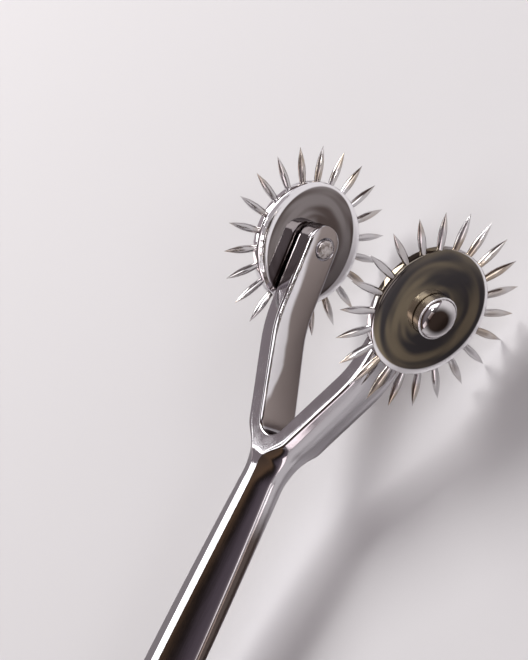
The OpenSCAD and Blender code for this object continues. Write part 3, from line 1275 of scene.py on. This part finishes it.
    def inner_chain(self, inner: Vector, into: Vector) -> list[Vector]:
        """Inner side of a section, from the front to the back.

        Args:
            inner: Point on the inner outline.
            into: Direction from there into the steel.

        Returns:
            Its points in the fork's frame.
        """
        half, roll = self.front_half(inner.x), self.inner_roll_at(inner.x)
        upper = [(-self.guide_run, half), (-roll * self.inner_slope, half), (0, half - roll)]
        corners = upper + [(across, -z) for across, z in reversed(upper)]
        radii = [self.inner_edge_r, self.inner_roll_r, self.inner_roll_r, self.inner_edge_r]
        chain = rounded_chain(corners, radii, [0.0, self.inner_crown, 0.0], self.corner_steps, self.flats)
        return [self.lift(inner - into * across, z, half) for across, z in chain]

    def inner_roll_at(self, x: float) -> float:
        """Width of the hand-polished border on the inner side of an arm.

        Args:
            x: Place along the fork.

        Returns:
            The width.
        """
        for (x0, w0), (x1, w1) in zip(self.inner_roll, self.inner_roll[1:]):
            if x <= x1:
                return mix(w0, w1, smooth_ramp(x, x0, x1))
        return self.inner_roll[-1][1]

    def ring(self, station: Station) -> list[Vector]:
        """Whole section of an arm.

        Args:
            station: The section.

        Returns:
            Its points: the outer side front to back, then the inner side back to front.
        """
        outer = self.outer_chain(station)
        inner = self.inner_chain(station.outer + station.inward * self.arm_t, -station.inward)
        front = [inner[0].lerp(outer[0], share) for share in self.front_shares]
        back = [outer[-1].lerp(inner[-1], share) for share in self.front_shares]
        return outer + back + inner[::-1] + front

    def open_section(self, station: Station) -> list[Vector]:
        """Section of the bar from the middle of its front to the middle of its back.

        Args:
            station: The section.

        Returns:
            Its points in the fork's frame.
        """
        chain = self.outer_chain(station)
        middle = station.outer + station.inward * (station.outer.y / -station.inward.y)
        places = [middle] + [middle.lerp(Vector(chain[0].xy), share) for share in self.strip_shares]
        front = [self.lift(at, self.front_half(at.x)) for at in places]
        back = [Vector((p.x, p.y, 2 * self.axle_set_back - p.z)) for p in reversed(front)]
        return front + chain + back

    # The skin

    def build_mesh(self) -> BMesh:
        """Lofts the left half, closes the ear, mirrors it and fills the flats.

        Returns:
            The whole skin in the fork's frame.
        """
        bm = bmesh.new()
        neck, arm = self.neck_stations(), self.arm_stations()
        borders = [s.outer + s.inward * (s.facet_run + s.roll) for s in neck]
        flat_from = next(i for i, border in enumerate(borders) if border.x > self.flat_x)
        bar = self.handle_stations() + neck[:flat_from + 1]
        loft(bm, [self.open_section(s) for s in bar], closed=False)
        loft(bm, [self.outer_chain(s) for s in neck[flat_from:]], closed=False)
        loft(bm, [self.ring(s) for s in arm], closed=True)
        self.close_ear(bm, arm[-1])
        self.add_crotch(bm)
        bmesh.ops.remove_doubles(bm, verts=bm.verts, dist=SEAM_MM)
        bmesh.ops.dissolve_degenerate(bm, edges=bm.edges, dist=MERGE_MM)
        geometry = bm.verts[:] + bm.edges[:] + bm.faces[:]
        bmesh.ops.mirror(bm, geom=geometry, matrix=Matrix.Identity(4), merge_dist=SEAM_MM, axis="Y")
        bmesh.ops.remove_doubles(bm, verts=bm.verts, dist=SEAM_MM)
        open_edges = [e for e in bm.edges if e.is_boundary]
        filled = bmesh.ops.holes_fill(bm, edges=open_edges, sides=0)["faces"]
        log.info("fork flats filled: %d, with %s corners", len(filled), [len(f.verts) for f in filled])
        bmesh.ops.recalc_face_normals(bm, faces=bm.faces)
        bmesh.ops.inset_individual(
            bm, faces=filled, thickness=self.flat_inset, depth=0.0, use_even_offset=False
        )
        return bm

    def close_ear(self, bm: BMesh, station: Station) -> None:
        """Spins the front half of the last section round to the back.

        Args:
            bm: Mesh that takes the end.
            station: The last section.
        """
        points = self.ring(station)
        upper = [p.z >= self.axle_set_back - MERGE_MM for p in points]
        first_below, below = upper.index(False), upper.count(False)
        verts = [bm.verts.new(p) for p in points[first_below + below:] + points[:first_below]]
        edges = [bm.edges.new(pair) for pair in zip(verts, verts[1:])]
        middle = self.bend_end + self.ear_dir * self.ear_run
        bmesh.ops.spin(
            bm, geom=verts + edges, cent=(middle.x, middle.y, self.axle_set_back),
            axis=(self.ear_normal.x, self.ear_normal.y, 0.0), angle=math.pi, steps=self.ear_end_rows,
            use_merge=False, use_duplicate=False,
        )

    def add_crotch(self, bm: BMesh) -> None:
        """Carries the inner side of the arm round the bottom of the crotch to the middle.

        Args:
            bm: Mesh that takes the wall.
        """
        steps = range(self.crotch_rows + 1)
        turns = [heading(mix(self.arm_angle + 90, 180, k / self.crotch_rows)) for k in steps]
        chains = [self.inner_chain(self.crotch_centre + self.crotch_r * turn, turn) for turn in turns]
        loft(bm, chains, closed=False)

    def mark_inner_walls(self, bm: BMesh) -> None:
        """Gives the inner walls of the arms the second material slot.

        Args:
            bm: The whole skin.
        """
        bm.normal_update()
        start, end = self.wall_from - self.crotch_reach, self.ear_reach + self.ear_depth / 2
        for face in bm.faces:
            middle, normal = face.calc_center_median(), face.normal
            inwards = -math.copysign(1.0, middle.y) * normal.y
            if start < middle.x < end and inwards > self.wall_facing and abs(normal.z) < self.wall_lean:
                face.material_index = 1

    def dress(self, placement: Placement, chrome: Material, walls: Material) -> Object:
        """Makes the forging and lets it stand for its node.

        Args:
            placement: Where the fork and the wheels lie.
            chrome: Its finish.
            walls: Material of the inner walls of its arms: chrome painted brighter for a white reflection in
                front, with a painted grey-brown reflection behind.

        Returns:
            The piece.
        """
        skin = self.build_mesh()
        self.mark_inner_walls(skin)
        piece = make_piece("forged_fork_handle", skin, placement.fork, [chrome, walls])
        inner_z = -self.ear_gap - self.arm_t
        groove_r, shank_r = self.groove_d / 2, self.shank_d / 2
        hole = [
            (0, inner_z - self.cut_before), (groove_r + self.groove_flare, inner_z - self.cut_before),
            (groove_r, inner_z), (shank_r + self.groove_foot, inner_z + self.groove_depth),
            (shank_r + self.shank_gap, self.cut_past), (0, self.cut_past),
        ]
        cutters = []
        for side in Side:
            bm = bmesh.new()
            lathe(bm, hole, self.hole_rows)
            cutters.append(make_piece(f"{side.label}_cutter", bm, placement.wheels[side], [chrome]))
        cut_away(piece, cutters)
        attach(piece, "fork")
        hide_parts("fork_handle")
        return piece


# A wheel


@dataclass
class Wheel:
    """One needle wheel: a turned disc with needles pressed into its rim, on its shoulder rivet.

    Attributes:
        side: Side of the fork.
        first_turn: Angle of the first needle from the handle's line, in degrees.
        mirror: Finish of the disc.
        fork: The forging that the rivet goes through.
    """

    side: Side
    first_turn: float
    mirror: TurnedMirror
    fork: ForkHandle

    # Disc, whose faces roll off softly towards the rim
    disc_d: float = 20.8
    disc_t: float = 2.2
    bore_d: float = 3.2
    bore_edge_w: float = 0.1
    bore_edge_h: float = 0.12
    edge_r: float = 0.42
    edge_start: float = -78.0
    roll_w: float = 1.5
    roll_drop: float = 0.26
    roll_power: float = 2.6

    # Needles, which swell to a belly and fall to a point
    needle_count: int = 22
    needle_height: float = 1.3
    needle_seat: float = 2.2
    needle_reach: float = 5.792
    needle_root_d: float = 1.0
    needle_d: float = 1.25
    belly_at: float = 0.38
    point_power: float = 1.7
    point_r: float = 0.03

    # Rivet: a shank with a peened end, and a head with a dome in a fine groove
    peen_h: float = 0.35
    peen_r: float = 0.35
    peen_start: float = -75.0
    peen_rise: float = 0.05
    peen_crown: float = 0.03
    head_gap: float = 0.08
    head_d: float = 6.9
    head_foot: float = 0.1
    head_row: float = 0.5
    head_side_h: float = 1.5
    head_shoulder_h: float = 0.55
    head_edge_r: float = 0.12
    head_edge_end: float = 80.0
    groove_lip: Point2 = (0.12, 0.03)
    groove_foot: Point2 = (0.05, -0.04)
    groove_depth: float = 0.05
    dome_base_d: float = 6.4
    dome_h: float = 0.83

    # Rows of points
    face_shares: tuple[float, ...] = (0.03, 0.5, 0.97)
    edge_rows: int = 5
    roll_rows: int = 8
    needle_rows: int = 18
    head_edge_rows: int = 6
    dome_rows: int = 16
    disc_sides: int = 128
    needle_sides: int = 20
    rivet_sides: int = 96

    @property
    def body(self) -> str:
        """Name of the body that turns."""
        return f"{self.side.label}_wheel"

    def disc_profile(self) -> list[Point2]:
        """Half section of the disc.

        Returns:
            Radius and height of its points, back to the first one.
        """
        bore, roll_start = self.bore_d / 2, self.disc_d / 2 - self.roll_w
        roll_end = self.disc_d / 2 - self.edge_r
        inner = [(bore, self.bore_edge_h), (bore + self.bore_edge_w, 0.0)]
        inner += [(mix(bore, roll_start, share), 0.0) for share in self.face_shares]
        for k in range(self.roll_rows):
            share = k / self.roll_rows
            inner.append((mix(roll_start, roll_end, share), self.roll_drop * share ** self.roll_power))
        rim = (roll_end, self.roll_drop + self.edge_r)
        inner += arc(rim, self.edge_r, self.edge_start, 0, self.edge_rows)
        outer = [(r, self.disc_t - z) for r, z in reversed(inner)]
        return inner + outer + [inner[0]]

    def make_disc(self, place: Matrix, mirror: Material) -> Object:
        """Turns the disc.

        Args:
            place: Matrix of the wheel's frame.
            mirror: Its finish.

        Returns:
            The piece.
        """
        bm = bmesh.new()
        lathe(bm, self.disc_profile(), self.disc_sides)
        piece = make_piece(f"{self.side.label}_mirror_disc", bm, place, [mirror])
        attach(piece, self.body)
        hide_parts(f"{self.side.label}_disc")
        return piece

    def needle_profile(self) -> list[Point2]:
        """Half section of a needle.

        Returns:
            Radius and place of its points, from the seat to the point.
        """
        points = [(0.0, -self.needle_seat), (self.needle_root_d / 2, -self.needle_seat)]
        swell = (self.needle_d - self.needle_root_d) / 2
        for k in range(self.needle_rows + 1):
            share = k / self.needle_rows
            if share < self.belly_at:
                radius = self.needle_d / 2 - swell * (1 - share / self.belly_at) ** 2
            else:
                fall = ((share - self.belly_at) / (1 - self.belly_at)) ** self.point_power
                radius = max(self.point_r, self.needle_d / 2 * (1 - fall))
            points.append((radius, self.needle_reach * share))
        return points + [(0.0, self.needle_reach)]

    def make_needles(self, place: Matrix, steel: Material) -> list[Object]:
        """Grinds the needles and seats them round the rim.

        Args:
            place: Matrix of the wheel's frame.
            steel: Their finish.

        Returns:
            The pieces.
        """
        to_rim = Matrix.Translation((self.disc_d / 2, 0, self.needle_height))
        outwards = Matrix.Rotation(math.pi / 2, 4, "Y")
        pieces = []
        for i in range(self.needle_count):
            angle = -self.side.value * math.radians(self.first_turn + i * 360 / self.needle_count)
            seat = place @ Matrix.Rotation(angle, 4, "Z") @ to_rim @ outwards
            bm = bmesh.new()
            lathe(bm, self.needle_profile(), self.needle_sides)
            piece = make_piece(f"{self.side.label}_ground_needle_{i + 1}", bm, seat, [steel])
            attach(piece, self.body)
            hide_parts(f"{self.side.label}_needle_{i + 1}")
            pieces.append(piece)
        return pieces

    def rivet_profile(self) -> list[Point2]:
        """Half section of the rivet.

        Returns:
            Radius and height of its points, from the peened end to the top of the dome.
        """
        end = -self.fork.ear_gap - self.fork.arm_t - self.peen_h
        head = self.disc_t + self.head_gap
        shoulder = head + self.head_side_h
        shank, rim, base = self.fork.shank_d / 2, self.head_d / 2, self.dome_base_d / 2
        peen = (shank - self.peen_r, end + self.peen_r + self.peen_rise)
        edge = (rim - self.head_edge_r, shoulder - self.head_edge_r)
        dome_h = self.head_shoulder_h + self.dome_h + self.groove_depth
        return [
            (0.0, end), (shank / 2, end + self.peen_crown),
            *arc(peen, self.peen_r, self.peen_start, 0, self.edge_rows),
            (shank, 0.0), (shank, head),
            (rim - self.head_foot, head), (rim, head + self.head_foot), (rim, head + self.head_row),
            *arc(edge, self.head_edge_r, 0, self.head_edge_end, self.head_edge_rows),
            *((base + across, shoulder + up) for across, up in (self.groove_lip, self.groove_foot)),
            *(
                (base * across, shoulder - self.groove_depth + dome_h * up)
                for across, up in arc((0, 0), 1.0, 0, 90, self.dome_rows)
            ),
        ]

    def make_rivet(self, place: Matrix, chrome: Material, hammered: Material, painted_dome: Material) -> Object:
        """Turns the shoulder rivet that the wheel runs on.

        Args:
            place: Matrix of the wheel's frame.
            chrome: Finish of the head and shank: the chrome painted lighter, so the head's side reads light.
            hammered: Finish of the peened end.
            painted_dome: Material of the dome, with a painted dark and bright reflection.

        Returns:
            The piece.
        """
        bm = bmesh.new()
        lathe(bm, self.rivet_profile(), self.rivet_sides)
        peen_end = self.peen_r + self.peen_rise - self.fork.ear_gap - self.fork.arm_t - self.peen_h
        dome_from = self.disc_t + self.head_gap + self.head_side_h - self.groove_depth
        dome_r = self.dome_base_d / 2 + self.groove_foot[0]
        for face in bm.faces:
            middle = face.calc_center_median()
            if middle.z < peen_end:
                face.material_index = 1
            elif middle.z > dome_from and middle.xy.length < dome_r:
                face.material_index = 2
        piece = make_piece(f"{self.side.label}_shoulder_rivet", bm, place, [chrome, hammered, painted_dome])
        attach(piece, "fork")
        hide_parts(f"{self.side.label}_axle_rivet")
        return piece


# The studio


@dataclass(frozen=True)
class Softbox:
    """One soft lamp.

    Attributes:
        name: Name of the lamp.
        place: Middle of its face, in metres.
        facing: Direction from the object to the lamp, at right angles to its face.
        size: Width and height, in metres.
        radiance: Brightness of its face, where 1 is white paper in full light.
        colour: Colour of its light.
    """

    name: str
    place: Point3
    facing: Point3
    size: Point2
    radiance: float
    colour: str


@dataclass
class Studio:
    """Pale floor, soft lamps and the camera at the photograph's angle.

    Attributes:
        eye: Place of the camera, in millimetres of the fork's frame.
        aim: Point that it looks at.
        up: Direction that is up in the picture.
        focal_px: Focal length, in pixels of the photograph.
        image_height_px: Height of the photograph.
        sensor_mm: Height of the sensor.
        near_m: Distance from which the camera sees, in metres.
        floor_half_m: Half width of the floor.
        floor_colour: Colour of its paper.
        room: Tone of the room for each y of a direction, from the right over the ceiling to the left.
        softboxes: The lamps.
    """

    eye: Point3 = (13.793, -217.743, 185.872)
    aim: Point3 = (-14.649, 5.404, 9.183)
    up: Point3 = (0.89581, 0.34042, 0.28572)
    focal_px: float = 1818.0
    image_height_px: float = 660.0
    sensor_mm: float = 36.0
    near_m: float = 0.01
    floor_half_m: float = 3.0
    floor_colour: str = "#D8D7D9"
    room: tuple[tuple[float, str], ...] = (
        (-1.0, "#A09A9C"), (-0.8, "#B0A7AB"), (-0.5, "#8A8085"), (-0.22, "#594F57"), (-0.155, "#241E1D"),
        (-0.125, "#2C2420"), (-0.085, "#66503F"), (0.0, "#5C4A3D"), (0.3, "#3C3432"), (0.6, "#7C7276"),
        (0.8, "#978D91"), (1.0, "#A39B9F"),
    )
    softboxes: tuple[Softbox, ...] = (
        Softbox("strip_box", (-0.242, 0.684, 0.585), (0.0, 0.76, 0.65), (0.23, 0.15), 3.0, "#FFFFFF"),
        Softbox("ridge_box", (-0.12, 0.53, 0.7), (-0.1, 0.6, 0.79), (0.7, 0.13), 3.0, "#FFFFFF"),
        Softbox("key", (0.34, 0.6, 0.68), (0.35, 0.62, 0.7), (0.46, 0.46), 11.3, "#FFFDFB"),
        Softbox("fill", (0.48, -0.45, 0.72), (0.5, -0.48, 0.72), (0.5, 0.4), 1.8, "#FBFBFF"),
        Softbox("arm_window", (-0.72, -0.56, 0.17), (-0.79, -0.6, 0.15), (0.55, 0.3), 1.6, "#FFF1F3"),
        Softbox("line_window", (-0.1, -0.92, 0.2), (-0.1, -0.97, 0.2), (0.4, 0.32), 1.8, "#FFF6F7"),
        Softbox("spark", (0.25, -0.86, 0.42), (0.25, -0.86, 0.42), (0.14, 0.14), 16.0, "#FFFFFF"),
        Softbox("inner_window", (0.6, -0.62, 0.36), (0.64, -0.66, 0.38), (0.5, 0.42), 2.0, "#FFFFFF"),
        Softbox("left_window", (-0.52, 0.74, 0.2), (-0.55, 0.8, 0.2), (0.5, 0.25), 1.5, "#FFF0EC"),
    )

    def make_camera(self, placement: Placement) -> None:
        """Stands the camera where the photograph was taken from.

        Args:
            placement: Where the fork lies.
        """
        eye, aim = placement.fork @ Vector(self.eye), placement.fork @ Vector(self.aim)
        forward = (aim - eye).normalized()
        right = forward.cross(placement.fork.to_3x3() @ Vector(self.up)).normalized()
        data = bpy.data.cameras.new("camera")
        data.sensor_fit = "VERTICAL"
        data.sensor_height = self.sensor_mm
        data.lens = self.focal_px / self.image_height_px * self.sensor_mm
        data.clip_start = self.near_m
        camera = bpy.data.objects.new("camera", data)
        camera.matrix_world = Matrix.Translation(eye) @ basis(right, right.cross(forward), -forward)
        bpy.context.scene.collection.objects.link(camera)
        bpy.context.scene.camera = camera

    def make_floor(self) -> None:
        """Lays the plain pale floor under the object: matt paper, which gives a soft shadow."""
        bm = bmesh.new()
        bmesh.ops.create_grid(bm, x_segments=1, y_segments=1, size=self.floor_half_m)
        mesh = bpy.data.meshes.new("floor")
        bm.to_mesh(mesh)
        bm.free()
        material = bpy.data.materials.new("matt_paper")
        tree = empty_tree(material)
        shader = add_node(tree, "BsdfPrincipled", {
            "Base Color": srgb(self.floor_colour), "Roughness": 0.9, "Specular IOR Level": 0.1,
        })
        add_node(tree, "OutputMaterial", {"Surface": shader})
        mesh.materials.append(material)
        floor = bpy.data.objects.new("floor", mesh)
        bpy.context.scene.collection.objects.link(floor)

    def make_world(self) -> None:
        """Paints the dim room: warm and dark overhead, with one dark beam, and greyer to the sides."""
        world = bpy.data.worlds.new("room")
        tree = empty_tree(world)
        direction = add_node(tree, "TexCoord").outputs["Generated"]
        parts = add_node(tree, "SeparateXYZ", [direction])
        across = add_node(tree, "MapRange", [parts.outputs["Y"], -1.0, 1.0])
        tones = add_node(tree, "ValToRGB", [across])
        stops = tones.color_ramp.elements
        while len(stops) < len(self.room):
            stops.new(0.5)
        for stop, (y, code) in zip(stops, self.room):
            stop.position = (y + 1) / 2
            stop.color = srgb(code)
        background = add_node(tree, "Background", {"Color": tones, "Strength": 1.0})
        add_node(tree, "OutputWorld", {"Surface": background})
        bpy.context.scene.world = world

    def add_softbox(self, box: Softbox) -> None:
        """Hangs one soft lamp that faces the object.

        Args:
            box: The lamp.
        """
        data = bpy.data.lights.new(box.name, "AREA")
        data.shape = "RECTANGLE"
        data.size, data.size_y = box.size
        data.energy = box.radiance * math.pi * box.size[0] * box.size[1]
        data.color = srgb(box.colour)[:3]
        lamp = bpy.data.objects.new(box.name, data)
        facing = Vector(box.facing).to_track_quat("Z", "Y").to_matrix().to_4x4()
        lamp.matrix_world = Matrix.Translation(box.place) @ facing
        bpy.context.scene.collection.objects.link(lamp)

    def build(self, placement: Placement) -> None:
        """Sets the whole studio up.

        Args:
            placement: Where the fork lies.
        """
        self.make_camera(placement)
        self.make_floor()
        self.make_world()
        for box in self.softboxes:
            self.add_softbox(box)


def main() -> None:
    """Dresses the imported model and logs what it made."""
    logging.basicConfig(level=logging.INFO, format="%(message)s")
    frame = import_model()
    # The discs' colours paint in their reflections: the right one darker and olive, with its painted bright
    # border moved aside
    right_mirror = TurnedMirror(
        colour="#8A7F6B", tarnish="#4A4748", tarnish_noise=(0.36, 0.6), bare_shift=(0.4, 0.65)
    )
    left_mirror = TurnedMirror(bare_squeeze=(1.0, 1.17))
    forging = ForkHandle()
    wheels = (
        Wheel(Side.RIGHT, 9.6, right_mirror, forging), Wheel(Side.LEFT, 15.2, left_mirror, forging)
    )
    placement = Placement.from_joints(frame["joints"], wheels[0].disc_t)
    Studio().build(placement)

    chrome, walls, bright, hammered = (
        finish.build(placement.fork) for finish in (
            # The handle's chrome, with a painted dark reflection on its sides
            PolishedChrome(grip="#625853", middle_z=forging.axle_set_back),
            # Inner walls: chrome painted brighter for a white reflection in front, and a painted grey-brown
            # reflection behind
            PolishedChrome("hand_rubbed_chrome_wall", colour="#F4F3F5", stain="#9B918D"),
            # Rivet heads: a copy of the chrome painted lighter, so that their sides read light
            PolishedChrome("turned_rivet_chrome", colour="#F4F3F5", worn="#D9D5D3", roughness=(0.2, 0.3)),
            HammeredSteel(),
        )
    )
    fork = forging.dress(placement, chrome, walls)
    log.info("%s: %d faces", fork.name, len(fork.data.polygons))
    for wheel in wheels:
        place = placement.wheels[wheel.side]
        disc = wheel.make_disc(place, wheel.mirror.build(place, wheel.side))
        needles = wheel.make_needles(place, GroundNeedleSteel().build(place, wheel.side))
        # The dome's reflection is painted into its colour
        rivet = wheel.make_rivet(place, bright, hammered, BurnishedDome().build(place, wheel.side))
        washer = frame["nodes"][f"{wheel.side.label}_thrust_washer"]
        washer.data.materials.clear()
        washer.data.materials.append(RubbedSteel().build(place, wheel.side))
        log.info("%s, %d needles, %s and %s dressed", disc.name, len(needles), rivet.name, washer.name)

    bpy.context.scene.view_settings.view_transform = "Standard"


if __name__ == "__main__":
    main()
